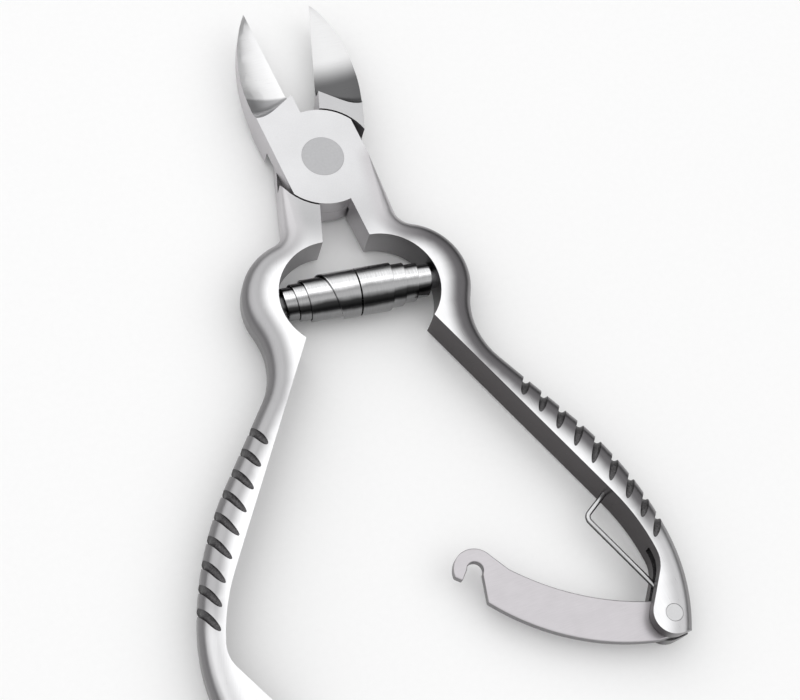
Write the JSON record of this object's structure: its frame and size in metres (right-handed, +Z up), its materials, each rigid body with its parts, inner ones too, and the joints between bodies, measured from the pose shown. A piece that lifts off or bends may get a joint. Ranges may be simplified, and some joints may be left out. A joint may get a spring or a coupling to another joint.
{
  "type": "nail nipper",
  "caption": "Plier-type steel nail nipper with hollow-ground jaws, a lap joint, a barrel spring between grooved handles and a hook latch.",
  "frame": {"origin": "where the pivot axis meets the flat face that the tool lies on", "axes": "+X across the tool, +Y towards the jaws, +Z up along the pivot axis"},
  "size_m": [0.087, 0.1403, 0.0092],
  "materials": {
    "forged_steel": "satin",
    "rivet_steel": "satin",
    "spring_steel": "polished",
    "latch_steel": "satin",
    "pin_steel": "satin"
  },
  "bodies": {
    "front": {"front_lever": "forged_steel", "pivot_rivet": "rivet_steel", "barrel_spring": "spring_steel", "spring_stud_front": "pin_steel", "latch_pin": "pin_steel", "latch_spring": "spring_steel"},
    "rear": {"rear_lever": "forged_steel", "spring_stud_rear": "pin_steel", "catch_pin": "pin_steel"},
    "latch": {"lock_latch": "latch_steel"}
  },
  "joints": [
    {"name": "lever_pivot", "type": "hinge", "parent": "front", "child": "rear", "pos_m": [0, 0, 0.0037], "axis": [0, 0, 1], "range_deg": [0, 21.28], "stiffness_Nm_per_rad": 0.9, "deforming": ["barrel_spring"]},
    {"name": "latch_hinge", "type": "hinge", "parent": "front", "child": "latch", "pos_m": [0.03861, -0.09826, 0.0037], "axis": [0, 0, 1], "range_deg": [-25, 42.3]}
  ]
}
